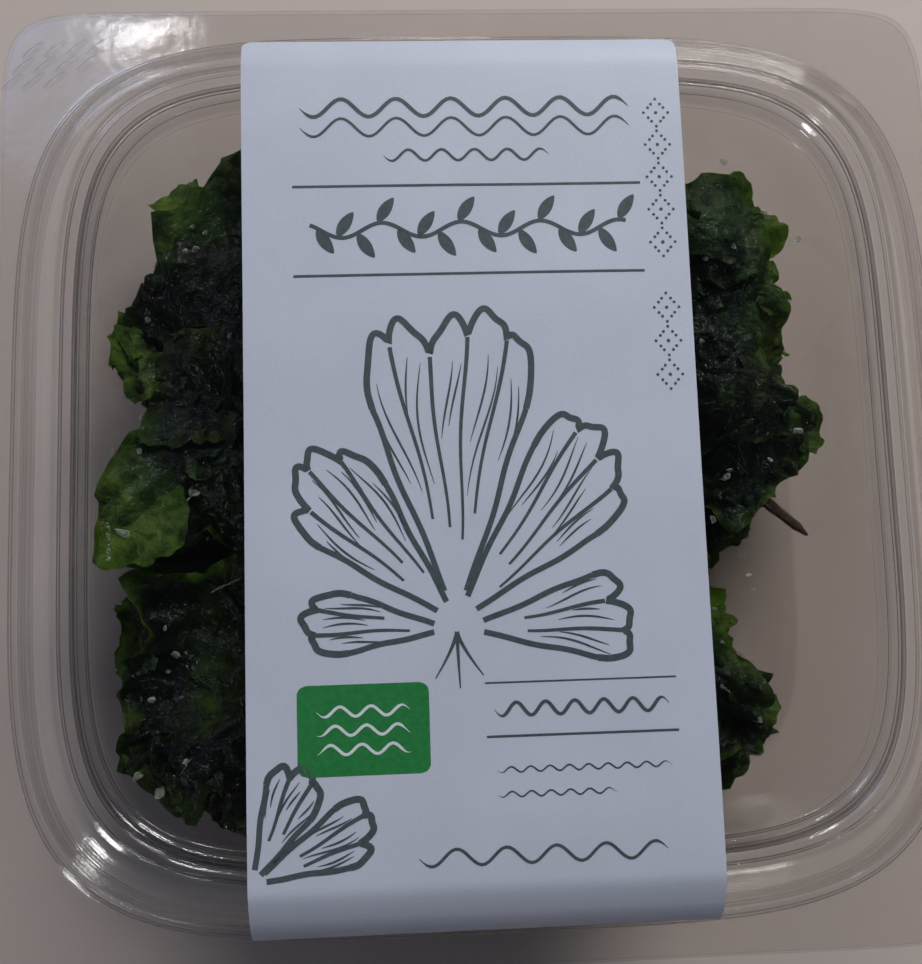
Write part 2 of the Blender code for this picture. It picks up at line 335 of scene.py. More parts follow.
def weed_material():
    """Wet blade. The attribute thin is 1 where a single blade is lit through, as at its edge: that light
    is painted into its colour as well as let through. The other attribute says how light the blade is
    there: its own lightness, which differs at random, with the zones' painted light and shade."""
    look = Look("wet_sea_lettuce")
    thin, tone = look.attribute("thin"), look.attribute("tone")
    patch, cells = look.speckle(150.0, 3.0), look.speckle(520.0, 3.0, 0.6)
    deep = look.ramp(tone, (0.0, (0.0014, 0.003, 0.0026)), (0.4, (0.004, 0.010, 0.006)),
                     (1.0, (0.034, 0.072, 0.018)))
    # painted light: where thin is high the colour is a lighter green, for the light that comes through a
    # single blade
    lit_through_colour = look.ramp(patch, (0.3, (0.03, 0.075, 0.01)), (0.5, (0.065, 0.13, 0.016)),
                      (0.7, (0.12, 0.185, 0.028)))
    spots = look.ramp(cells, (0.35, (0.45, 0.45, 0.45)), (0.65, (1.6, 1.6, 1.6)))
    folds = look.relief(look.fit(look.speckle(1500.0, 2.0, 0.4), 0.45, cells), 0.8, 0.0006)
    wet = look.solid(look.mix(1.0, look.mix(thin, deep, lit_through_colour), spots, "MULTIPLY"),
                     look.fit(patch, 0.30, 0.06), {"IOR": 1.36, "Specular IOR Level": 0.34, "Normal": folds})
    through = look.mix(thin, (0.01, 0.05, 0.004, 1), (0.20, 0.46, 0.03, 1))
    lit = look.add("ShaderNodeBsdfTranslucent", {"Color": through, "Normal": folds})
    return look.finished(look.either(look.fit(thin, 0.5, 0.1), wet, lit))


def salt_material():
    """A milky crystal: clearer through its middle, whiter round its rim."""
    look = Look("coarse_salt")
    frost = look.speckle(1500.0, 3.0)
    colour = look.ramp(frost, (0.35, (0.34, 0.38, 0.35)), (0.65, (0.66, 0.70, 0.68)))
    solid = look.solid(colour, 0.16, {"IOR": 1.54, "Normal": look.relief(frost, 0.6, 0.0002)})
    milk = look.fit(look.glance(), 0.62, look.fit(frost, 0.5, -0.10), clamp=True)
    return look.finished(look.either(milk, look.clear((0.86, 0.92, 0.86, 1)), solid))


def bark_material():
    look = Look("brown_stalk")
    grain = look.speckle(1100.0, 4.0)
    colour = look.ramp(grain, (0.3, (0.02, 0.012, 0.01)), (0.6, (0.06, 0.03, 0.02)),
                       (0.8, (0.14, 0.085, 0.06)))
    skin = {"Coat Weight": 0.3, "Normal": look.relief(grain, 0.7, 0.0002)}
    return look.finished(look.solid(colour, 0.35, skin))


# ---- tub and lid
def superellipse(angle, half_x, half_y, power):
    """Points (n, 2) of a square with round corners, the rounder the smaller the power."""
    x, y = np.cos(angle), np.sin(angle)
    reach = (np.abs(x / half_x) ** power + np.abs(y / half_y) ** power) ** (-1 / power)
    return np.stack([reach * x, reach * y], 1)


def rim_loop(angle, offset):
    """Points (n, 2) in mm of the loop that runs that far outside the lid's window."""
    return superellipse(angle, WINDOW_X / 2 + offset, WINDOW_Y / 2 + offset * RIM_SQUEEZE,
                        WINDOW_POWER - POWER_FALL * offset)


def loop_angles(count):
    """Angles all round, closest together at the four corners."""
    quarter = count // 4
    side = 2 * np.arange(quarter) / quarter - 1
    return np.concatenate([(corner + 0.5) * math.pi / 2 + math.pi / 4 * side * np.abs(side) ** 0.5
                           for corner in range(4)])


def run_along(line):
    """How far along the line each of its points lies."""
    return np.concatenate([[0], np.cumsum(np.linalg.norm(np.diff(line, axis=0), axis=1))])


def resampled(line, at):
    """The points of a line (n, 2) that lie that far along it."""
    run = run_along(line)
    return np.stack([np.interp(at, run, line[:, 0]), np.interp(at, run, line[:, 1])], 1)


def smooth_line(points, step):
    """The open line through the points as a Catmull-Rom curve, with points about step apart."""
    p = np.array(points, float)
    p = np.vstack([2 * p[0] - p[1], p, 2 * p[-1] - p[-2]])
    out = []
    for a, b, c, d in zip(p, p[1:], p[2:], p[3:]):
        count = max(2, int(np.linalg.norm(c - b) / step))
        t = np.arange(count)[:, None] / count
        out.append(0.5 * (2 * b + (c - a) * t + (2 * a - 5 * b + 4 * c - d) * t ** 2
                          + (3 * b - a - 3 * c + d) * t ** 3))
    return np.vstack(out + [p[-2:-1]])


def shifted(line, distance):
    before = np.vstack([line[0] - [1, 0], line[:-1]])
    after = np.vstack([line[1:], line[-1] + [1, 0]])
    tangent = unit(after - before)
    return line + np.stack([-tangent[:, 1], tangent[:, 0]], 1) * distance


SHEET = 0.36  # mm, the real thickness of the formed sheet
# The same sections as the solids', with the sharp bead and grooves round the window drawn in:
# (mm outside the window, height in mm)
LID_FINE = ((-0.9, 26.2), (-0.3, 26.2), (-0.12, 26.26), (-0.02, 26.62), (0.2, 26.86), (0.5, 27.12),
            (0.75, 27.2), (0.98, 27.12), (1.08, 26.7), (1.28, 26.55), (1.46, 26.7), (1.56, 27.2),
            (1.8, 27.35), (2.5, 27.38), (2.7, 27.45), (2.82, 27.82), (3.05, 27.95), (3.6, 27.75),
            (4.6, 27.15), (6.6, 26.05), (7.6, 25.3), (8.25, 24.3), (8.6, 23.3), (8.8, 22.6),
            (8.95, 21.6), (9.1, 20.5), (9.3, 20.1), (9.7, 20.05), (9.98, 20.1), (10.12, 20.2),
            (10.4, 20.6), (10.52, 20.66), (10.64, 20.6), (10.92, 20.1), (11.0, 20.05))
TUB_FINE = ((-6.2, 0.25), (-3.9, 0.8), (-2.2, 2.3), (-1.3, 4.6), (-0.3, 13.0), (0.65, 20.8),
            (0.85, 21.2), (1.05, 21.6), (1.25, 24.4), (1.5, 25.7), (1.9, 26.25), (2.5, 26.6),
            (3.2, 26.75), (4.3, 26.3), (6.1, 25.35), (7.2, 24.4), (7.75, 23.4), (8.0, 22.4),
            (8.15, 21.0), (8.35, 19.7), (8.6, 19.3))
TUB_WALL = TUB_FINE[:7]  # from the floor to the rim
LID_FLANGE, TUB_FLANGE = 20.05, 19.25  # mm, the middle of each sheet there
FLANGE_PARTS = (0.1, 0.2, 0.3, 0.4, 0.5, 0.6, 0.7, 0.8, 0.88, 0.95, 1.0)
SPACING = {"lid": 0.15, "tub": 0.36}  # mm between points across a crease
# (from, to, how dark the crease's painted lines are) in mm outside the window: bead and grooves, foot,
# flange.
# The creases are painted with dark lines, as shade, and mirror more.
PAINTED_CREASES = {"lid": ((-0.6, 3.6, 1.0), (8.1, 9.7, 0.24), (9.95, 11.1, 0.9)),
           "tub": ((0.95, 2.6, 0.18), (8.1, 9.7, 0.2))}
# two faint ledges on the crown's outer side, all in mm
LEDGES, LEDGE_TOP, LEDGE_APART, LEDGE_HIGH = (4.5, 6.9), 5.375, 1.1, 0.10
# how much painted shade darkens the flat panels and the tub's wall, and where that wall starts in its section
FLAT_PANEL_SHADE, WALL_PANEL_SHADE, WALL_FROM = 1.0, 0.3, -2.4


def crease_shade_share(name, offset):
    """How strongly the sheet is painted with dark crease lines there, as shade, and mirrors more: 1 in the
    bead and the grooves round the window.
    """
    return float(max(most * np.clip((offset - start) / 0.3, 0, 1) * np.clip((end - offset) / 0.3, 0, 1)
                     for start, end, most in PAINTED_CREASES[name]))


def sheet_section(line, close):
    """The section's points, that close together where it is creased and further apart elsewhere."""
    fine = smooth_line(line, 0.05)
    run = run_along(fine)
    at = [0.0]
    while at[-1] < run[-1]:
        offset = np.interp(at[-1], run, fine[:, 0])
        creased = -0.3 < offset < 3.3 or 4.3 < offset < 7.0 or offset > 9.6
        at.append(at[-1] + (close if creased else close + 0.3) * 1)
    at[-1] = run[-1]
    return resampled(fine, at)


def formed_ring(angles, offset, z, middle):
    """One ring of the sheet, a little uneven, whose middle lies middle mm outside the window."""
    place = np.column_stack([rim_loop(angles, offset), np.full(len(angles), z)])
    uneven = 0.10 * (noise(place, 9.0, 2) - 0.5) + 0.05 * (noise(place, 2.6, 5) - 0.5)
    place[:, 2] += uneven * np.clip((middle + 3) / 3, 0, 1) * np.clip((9.0 - middle) / 2, 0, 1)
    start, end = LEDGES
    if start < middle < end:
        swing = math.cos(2 * math.pi * (middle - LEDGE_TOP) / LEDGE_APART)
        place[:, 2] += LEDGE_HIGH * swing * min(1, (middle - start) * 3, (end - middle) * 3)
    return place


def flange_ring(angles, line, z, part):
    """A ring of the flange, that part of the way from the sheet's foot to its outer edge."""
    inner = rim_loop(angles, line[-1][0])
    outer = superellipse(angles, 1, 1, FLANGE_POWER) * FLANGE / 2
    place = np.column_stack([inner + (outer - inner) * part, np.full(len(angles), z)])
    sway = noise(place * [1, 1, 0], 14.0, 4) - 0.3
    place[:, 2] += 0.12 * sway * min(1, part * 3) * min(1, (1 - part) * 6)
    return place


def sheet_shell(name, line, flange_z, material):
    """The tub or the lid as a closed sheet: its lower face from the middle out, and its upper back."""
    angles = loop_angles(280)
    section = sheet_section(line, SPACING[name])
    rings = []
    for side in (-1, 1):
        surface = []
        for (offset, z), (middle, _) in zip(shifted(section, side * SHEET / 2), section):
            # the flat panels, and more weakly the tub's wall, get painted shade
            most = WALL_PANEL_SHADE if name == "tub" and middle > WALL_FROM else FLAT_PANEL_SHADE
            surface.append((formed_ring(angles, offset, z, middle), crease_shade_share(name, middle),
                            most * float(np.clip((2.5 - middle) / 3.0, 0, 1))))
        for part in FLANGE_PARTS:
            ring = flange_ring(angles, line, flange_z + side * SHEET / 2, part)
            # the flange's outer edge gets a faint painted dark line
            surface.append((ring, 0.0 if part < 1 else 0.15, 0.0))
        rings += surface if side < 0 else surface[::-1]
    count, last = len(angles), (len(rings) - 1) * len(angles)
    faces = [tuple(range(count))[::-1]] + grid_faces(len(rings), count, wrap=True)
    faces.append(tuple(range(last, last + count)))
    places, bends, panel_shades = zip(*rings)
    piece = add_piece(name + "_sheet", np.vstack(places), faces, material, "clear_plastic", 60,
                      {"bend": np.repeat(bends, count), "panel_shade": np.repeat(panel_shades, count)})
    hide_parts(name)


# (pixel x, pixel y of the first rib, how many) of each row of ribs
GRIPS = ((33, 50, 4), (24, 66, 4), (14, 82, 3))
GRIP_FLOOR, GRIP_SLANT, GRIP_CREASE_SHADE = 20.1, math.radians(40), 0.25


def add_grips(material):
    """Short slanting ribs formed in the flange's corner, where the lid is gripped."""
    along, across = np.meshgrid(np.linspace(-1, 1, 21), np.linspace(-1, 1, 9), indexing="ij")
    x, y = turned(1.7 * along, 0.42 * across * np.sqrt(1 - 0.8 * along ** 2), GRIP_SLANT)
    high = GRIP_FLOOR + (0.08 + 0.20 * (1 - across ** 2) * (1 - along ** 4))
    parts = []
    for row, (px, py, ribs) in enumerate(GRIPS):
        for k in range(ribs):
            middle = seen_at(px + 21.5 * k - 1.0 * row, py - 1.2 * k, 20.3)
            top = np.stack([middle.x + x, middle.y + y, high], -1).reshape(-1, 3)
            parts.append(slab(top, top * [1, 1, 0] + [0, 0, GRIP_FLOOR - 0.02], *along.shape))
    points, faces = joined(parts)
    # the ribs get painted dark lines, as shade in creases
    bends = np.full(len(points), GRIP_CREASE_SHADE)
    add_piece("grip_ribs", points, faces, material, "clear_plastic", 60, {"bend": bends})


# ---- the floor, lights
def add_floor():
    look = Look("plain_floor")
    mesh = bpy.data.meshes.new("floor")
    mesh.from_pydata([(-3, -3, 0), (3, -3, 0), (3, 3, 0), (-3, 3, 0)], [], [(0, 1, 2, 3)])
    mesh.materials.append(look.finished(look.solid((0.50, 0.435, 0.40, 1), 0.75)))
    floor = placed("floor", mesh)


AIM, WHITE, BLACK = (0, 0, 0.02), (1.0, 1.0, 1.0), (0.0, 0.0, 0.0)
# (name, place, aim, size in m, watts, colour) of the windows, which light nothing and are only mirrored
WINDOWS = (("window_right", (0.37, 0.81, 0.58), AIM, (0.29, 0.10), 2.5, WHITE),
           ("window_left", (-0.53, -0.47, 0.70), AIM, (0.07, 0.30), 1.7, (0.97, 0.98, 1.0)),
           ("window_blue", (-0.42, 0.66, 0.72), AIM, (0.24, 0.16), 0.8, (0.66, 0.80, 1.0)),
           ("window_low", (0.30, -0.78, 0.23), AIM, (0.16, 0.06), 0.16, WHITE),
           ("window_top", (0.02, 0.60, 0.70), AIM, (0.09, 0.05), 0.6, WHITE))


def add_light(name, place, aim, size, watts, colour, mirrored=True, lights=False):
    """A soft lamp. It can be left out of what is mirrored, or light nothing and only be mirrored."""
    data = bpy.data.lights.new(name, "AREA")
    data.shape = "RECTANGLE"
    data.size, data.size_y = size
    data.energy, data.color = watts, colour
    light = placed(name, data)
    light.visible_glossy, light.visible_diffuse = mirrored, lights
    light.location = place
    light.rotation_euler = (Vector(aim) - Vector(place)).to_track_quat("-Z", "Y").to_euler()


def add_lights():
    add_light("skylight", (0.17, 0.37, 0.43), AIM, (0.30, 0.30), 2.85, (1.0, 0.985, 0.96), False, True)
    for window in WINDOWS:
        add_light(*window)
    # the glare on the flange's corner comes from where the flange mirrors the camera
    camera_below = Vector((CAMERA_AT[0], CAMERA_AT[1], -115.0))
    glare = (camera_below + (seen_at(141, 26, 20.2) - camera_below) * 5.3) * MM
    add_light("window_far", glare, (-0.04, 0.055, 0.02), (0.042, 0.006), 0.04, WHITE)


def add_world():
    """A plain room: light walls all round, and a darker ceiling where the camera stands."""
    look = Look("studio", bpy.data.worlds)
    way = look.add("ShaderNodeTexCoord", out="Generated")
    east, north, height = look.node("ShaderNodeSeparateXYZ", {0: way}).outputs
    sky = look.ramp(height, (0.0, (0.37, 0.355, 0.335)), (0.62, (0.34, 0.33, 0.32)),
                    (0.84, (0.022, 0.023, 0.026)))
    # a bluish window high in the west
    level = look.ramp(height, (0.58, BLACK), (0.66, WHITE), (0.79, WHITE), (0.865, BLACK), ease=True)
    side = look.ramp(look.math("MULTIPLY", east, -1.0), (0.06, BLACK), (0.20, (0.30, 0.44, 0.88)), ease=True)
    room = look.mix(1.0, sky, look.mix(1.0, level, side, "MULTIPLY"), "ADD")
    # a soft round sheen that the flange's corner mirrors
    near = look.add("ShaderNodeVectorMath", {0: way, 1: (-0.302, 0.483, 0.822)}, "Value",
                    operation="DOT_PRODUCT")
    sheen = look.ramp(near, (0.991, BLACK), (0.9985, (0.50, 0.72, 1.15)), ease=True)
    room = look.mix(1.0, room, sheen, "ADD")
    dimmer = look.ramp(look.fit(north, 0.5, 0.5), (0.15, (0.42, 0.42, 0.42)), (0.62, WHITE))
    room = look.mix(1.0, room, dimmer, "MULTIPLY")
    bpy.context.scene.world = look.finished(look.add("ShaderNodeBackground", {0: room, 1: 0.8}),
                                            "ShaderNodeOutputWorld")


# ---- the paper band
BAND_STEP, BAND_SOFT, BAND_CORNER = 0.3, 2.1, 1.2  # mm


def band_path():
    """The band's path (n, 2) with its bends eased, in mm."""
    line = np.array(BAND_LINE)
    length = run_along(line)[-1]
    path = resampled(line, np.linspace(0, length, int(length / BAND_STEP)))
    width = int(BAND_SOFT / BAND_STEP) // 2
    padded = np.vstack([path[0] + (path[0] - path[1]) * k for k in range(width, 0, -1)] + [path]
                       + [path[-1] + (path[-1] - path[-2]) * k for k in range(1, width + 1)])
    window = np.hanning(2 * width + 3)[1:-1]
    return np.stack([np.convolve(padded[:, k], window / window.sum(), "valid") for k in (0, 1)], 1)


BAND_PATH = band_path()
BAND_AT = run_along(BAND_PATH)
BAND_AHEAD = np.stack([np.gradient(BAND_PATH[:, k], BAND_AT) for k in (0, 1)], 1)


def band_rise(x, y):
    """How far the paper's underside lifts off its straight path at that place, in mm."""
    p = np.stack([x, y, np.zeros_like(x)], 1)
    return 0.32 * (noise(p, 17.0, 3) - 0.3) * np.clip((47 - np.abs(y)) / 6, 0, 1)


def band_point(x, t, above=0.0):
    """Points (n, 3) in mm that far above the paper, at widths x and distances t from the band's top end."""
    x, t = np.asarray(x, float), np.asarray(t, float)
    y, z = (np.interp(t, BAND_AT, BAND_PATH[:, k]) for k in (0, 1))
    ty, tz = (np.interp(t, BAND_AT, BAND_AHEAD[:, k]) for k in (0, 1))
    lift = (PAPER + above + band_rise(x, y)) / np.hypot(ty, tz)
    return np.stack([x, y + tz * lift, z - ty * lift], 1)


def corner_cut(radius, near):
    """How far a rounded corner has drawn the edge in where its start is that far away."""
    return radius - math.sqrt(max(0.0, radius ** 2 - near ** 2))


def add_band(material):
    columns, rows = ((76, 220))
    across = np.linspace(0, 1, columns)
    run = np.unique(np.concatenate([np.linspace(0, BAND_AT[-1], rows), np.linspace(0, BAND_CORNER, 9)]))
    top, under = [], []
    for t in run:
        cut = corner_cut(BAND_CORNER, max(0.0, BAND_CORNER - t))
        x = BAND_LEFT + cut + (BAND_RIGHT - BAND_LEFT - 2 * cut) * across
        top.append(band_point(x, np.full(columns, t)))
        under.append(band_point(x, np.full(columns, t), -PAPER * 0.8))
    sheet = slab(np.vstack(top), np.vstack(under), len(run), columns)
    piece = add_piece("label_sheet", *sheet, material, "label_paper", smooth=40)
    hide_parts("label_band")


# ---- the blades
CLUMP_SIDES = tuple(zip(CLUMP, CLUMP[1:] + CLUMP[:1]))
CLUMP_LOW, REACH_STEP = 0.62, 0.25  # mm
ZONE_HEIGHT, PIXELS_PER_MM = 19.0, 8.2
# (pixel x, pixel y, radius in pixels, weight): where the clump is painted lighter, as light coming
# through its thin parts, and painted darker if below 0, as shade in its thick middle
LIGHT_AND_SHADE_ZONES = ((185, 215, 45, 0.5), (225, 160, 30, 0.25), (120, 345, 24, 0.7), (190, 340, 60, -0.5),
         (150, 420, 30, 0.35), (140, 525, 48, 1.0), (215, 560, 50, -0.4), (125, 620, 22, 0.4),
         (200, 680, 70, -0.6), (140, 790, 40, 0.25), (715, 215, 45, 0.2), (775, 240, 24, 0.5),
         (770, 315, 34, 0.65), (715, 320, 34, 0.1), (740, 420, 60, -0.35), (800, 440, 26, 0.15),
         (722, 615, 26, 0.9), (735, 655, 30, 0.25), (755, 720, 40, -0.2))


def zone_light_and_shade(points):
    """How much lighter the clump is painted at points (n, 3) in mm, by the zones above: painted light
    above 0, painted shade below.
    """
    total = np.zeros(len(points))
    for px, py, radius, weight in LIGHT_AND_SHADE_ZONES:
        place = seen_at(px, py, ZONE_HEIGHT)
        away = (points[:, 0] - place.x) ** 2 + (points[:, 1] - place.y) ** 2
        total += weight * np.exp(-away / (radius / PIXELS_PER_MM) ** 2)
    return total


def edge_gap(points):
    """How far points (n, 3) lie from the clump's outline as seen from above, in mm."""
    gap = np.full(len(points), 99.0)
    for a, b in CLUMP_SIDES:
        a, side = np.array(a), np.array(b) - np.array(a)
        share = np.clip(((points[:, :2] - a) @ side) / (side @ side), 0, 1)
        gap = np.minimum(gap, np.linalg.norm(points[:, :2] - a - share[:, None] * side, axis=1))
    return gap


def lit_edge(points, zone):
    """How much light comes through the clump's rim, where one or two blades lie over the floor."""
    return np.clip((1 - edge_gap(points) / 4.5) * (0.26 + 0.9 * zone) * 1.35 * noise(points, 4.0, 33), 0, 1)


def in_clump(x, y):
    crossed = [(y0 > y) != (y1 > y) and x < x0 + (x1 - x0) * (y - y0) / (y1 - y0)
               for (x0, y0), (x1, y1) in CLUMP_SIDES]
    return sum(crossed) % 2 == 1


def in_tub(x, y, layer):
    lean = FLOOR_LEAN + LEAN_PER_LAYER * layer - WALL_CLEAR
    return abs(x / (WINDOW_X / 2 + lean)) ** WINDOW_POWER + abs(y / (WINDOW_Y / 2 + lean)) ** WINDOW_POWER < 1


def reach(middle, angle, layer, neighbours):
    """How far a blade runs out that way before it meets the wall, the clump's edge or its neighbours."""
    distance = 0.0
    while True:
        distance += REACH_STEP
        x, y = middle[0] + distance * math.cos(angle), middle[1] + distance * math.sin(angle)
        crowded = any(math.hypot(x - n[0], y - n[1]) < distance + SIDE_GAP for n in neighbours)
        if crowded or not in_clump(x, y) or not in_tub(x, y, layer):
            return distance - REACH_STEP


def shared_fold(x, y):
    """The folds that the solids' blades have in common."""
    return (1.3 * np.sin(x / 4.6 + 1.3 * np.sin(y / 8.0))
            + 1.1 * np.sin(y / 4.1 + 1.1 * np.sin(x / 7.0) + 1.0) + 0.5 * np.sin((x + y) / 2.9 + 0.5))


def cad_height(name, x, y):
    """Height of the middle of a CAD blade at that place, in mm."""
    tree = BVHTree.FromObject(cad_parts[name], bpy.context.evaluated_depsgraph_get())
    hits = [tree.ray_cast(Vector((x * MM, y * MM, -way * 0.2)), Vector((0, 0, way)))[0].z for way in (-1, 1)]
    return sum(hits) / 2 / MM


def crumple(points, seed, strength=1.0):
    """Small folds of a thin wet sheet, as shifts (n, 3) in mm."""
    warp = np.stack([noise(points, 5.0, seed + k) for k in (5, 6, 7)], 1) - 0.5
    bent = points + 3.2 * warp
    x, y = turned(bent[:, 0], bent[:, 1], -seed * 1.234)
    along = np.stack([x, y * 0.55, bent[:, 2]], 1)
    up = (1.15 * (creases(along, 5.2, seed) - 0.55) + 0.6 * (creases(along[:, ::-1], 2.5, seed + 1) - 0.55)
          + 0.22 * (creases(bent, 1.4, seed + 2) - 0.5) + 0.7 * (noise(bent, 1.9, seed + 8) - 0.5))
    aside = [1.3 * (noise(points, 2.8, seed + k) - 0.5) for k in (3, 4)]
    return np.stack([*aside, up], 1) * strength


def fine_blade(number, layer, middle, neighbours, sheet):
    """One of a blade's two thin sheets: points in mm, faces, and how much light comes through."""
    spokes, rings = ((180, 34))
    seed = number * 3 + sheet * 101
    ring, angle = round_grid(spokes, np.linspace(0.03, 1, rings) ** 0.85)
    edge = round_edge(angle, 5, seed * 1.3)
    ragged = 1 - ring ** 3 * (0.055 * (1 + np.sin(5 * angle + 1.7 * number))
                              + 0.04 * (1 + np.sin(11 * angle + 2.3 * number)))
    teeth = (noise(edge, 0.33, seed) - 0.5).reshape(ring.shape)
    bites = (noise(edge, 0.9, seed + 5) - 0.4).reshape(ring.shape)
    distance = np.array([reach(middle, a, layer, neighbours) for a in angle[0]]) * ring * ragged
    longer = 0.02 if sheet else 0.05
    distance = distance * (1 + ring ** 4 * (0.07 * teeth + 0.13 * bites) + longer * ring ** 4)
    x, y = middle[0] + distance * np.cos(angle), middle[1] + distance * np.sin(angle)
    base = cad_height(f"frond_{number:02d}", *middle) - shared_fold(*middle)
    z = (shared_fold(x, y) + FRILL * ring ** 2 * np.sin(6 * angle + 1.9 * number + 2.0 * ring)
         + SWAY * np.sin(3 * angle + number) * ring + base + (0.22 if sheet else -0.22))
    points = np.stack([x, y, z], -1).reshape(-1, 3)
    ring, angle = ring.reshape(-1), angle.reshape(-1)
    shift = crumple(points, seed) * (0.75 + 0.5 * ring ** 6)[:, None]
    points[:, 2] += 0.75 * ring ** 3 * np.sin(23 * angle + 5 * noise(edge, 1.0, seed + 7))
    points = points + shift
    points[:, 2] += ring ** 6 * 1.3 * (noise(edge, 0.6, seed + 9) - 0.55) * (1 if sheet else -1)
    points[:, 2] = np.clip(points[:, 2], CLUMP_LOW, LID_UNDER - 0.25)
    thin = np.clip((ring - 0.9) / 0.1, 0, 1) * np.clip(noise(points, 6.0, seed + 6) * 2.2 - 0.7, 0, 1)
    points = np.vstack([points, points[:spokes].mean(0)])
    thin = np.maximum(np.append(thin, 0) * 0.6, lit_edge(points, zone_light_and_shade(points)))
    return points, capped_faces(rings, spokes), thin


def add_blades(material):
    """Adds the blades and returns the points of every sheet."""
    surfaces = []
    for layer, middles in enumerate(LAYERS):
        for middle in middles:
            number = len(surfaces) // 2 + 1
            neighbours = [m for m in middles if m is not middle]
            parts = [fine_blade(number, layer, middle, neighbours, sheet) for sheet in (0, 1)]
            points, faces = joined(parts)
            # its own lightness, which differs at random, with the zones' painted light and shade
            tone = 0.6 * noise(points, 9.0, number) - 0.05 + zone_light_and_shade(points)
            floats = {"thin": np.concatenate([p[2] for p in parts]), "tone": np.clip(tone, 0, 1)}
            piece = add_piece(f"blade_{number:02d}", points, faces, material, "sea_lettuce", 180, floats)
            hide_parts(f"frond_{number:02d}")
            surfaces += [p[0] for p in parts]
    return surfaces


# ---- how the pile lies
CELL, MAP_HALF, BARE = 0.5, 56.0, 0.6  # mm; a map's cells and half side, and the bare floor
BANK_DROP, WALL_ROOM = 0.6, 0.9  # mm a cell past the pile's edge, and mm kept free along the tub's wall
BROAD = 7.2  # mm, a larger flap is a broad one with straight edges
SCRAPS, LOOSE_GRAINS = 230, 130
# (pixel x, pixel y, size, turn, how much light coming through it is painted, stretch, how crumpled): flaps
# that stand out at the edge
FLAPS = ((145, 521, 7.3, 0, 0.66, 1.0, 0.3), (128, 352, 4.8, 80, 0.35, 0.8, 0.8),
         (182, 205, 5.5, 40, 0.3, 0.9, 0.8), (180, 232, 3.4, 70, 0.3, 1.0, 0.8),
         (774, 313, 4.8, 90, 0.35, 0.9, 0.4), (762, 233, 4.6, 80, 0.25, 1.1, 0.4),
         (785, 344, 2.2, 60, 0.35, 0.9, 0.4), (760, 276, 2.4, 30, 0.25, 1.0, 0.4),
         (717, 622, 3.4, 90, 0.5, 0.7, 0.8), (148, 380, 5.0, 100, 0.3, 1.0, 0.8),
         (196, 268, 4.0, 10, 0.3, 1.2, 0.8), (797, 430, 5.0, 60, 0.1, 0.9, 0.5),
         (744, 705, 4.0, 70, 0.05, 0.9, 0.6), (150, 800, 7.0, 40, 0.1, 0.9, 0.8),
         (128, 640, 6.0, 80, 0.15, 0.8, 0.7), (738, 207, 4.2, 10, 0.2, 1.0, 0.5))


def cell_of(x, y):
    """The map's cell at one place or at many, in mm."""
    return tuple(np.clip(((np.asarray(v) + MAP_HALF) / CELL).astype(int), 0, int(2 * MAP_HALF / CELL) - 1)
                 for v in (x, y))


def around(field):
    """The map moved by one cell to each side."""
    return [np.roll(field, step, way) for way in (0, 1) for step in (1, -1)]


def blurred(field, passes):
    for _ in range(passes):
        field = sum(around(field), field) / 5
    return field


def pile_maps(surfaces):
    """Height of the pile's top, in mm, and how many sheets lie over each cell."""
    size = int(2 * MAP_HALF / CELL)
    top, sheets = np.full((size, size), BARE), np.zeros((size, size))
    for points in surfaces:
        cells = cell_of(*points.T[:2])
        covered = np.zeros((size, size))
        covered[cells] = 1
        sheets += blurred(covered, 3) > 0.2
        np.maximum.at(top, cells, points[:, 2])
    for _ in range(3):
        top = np.where(top <= BARE, np.maximum.reduce([top] + around(top)), top)
    return top, blurred(sheets, 4)


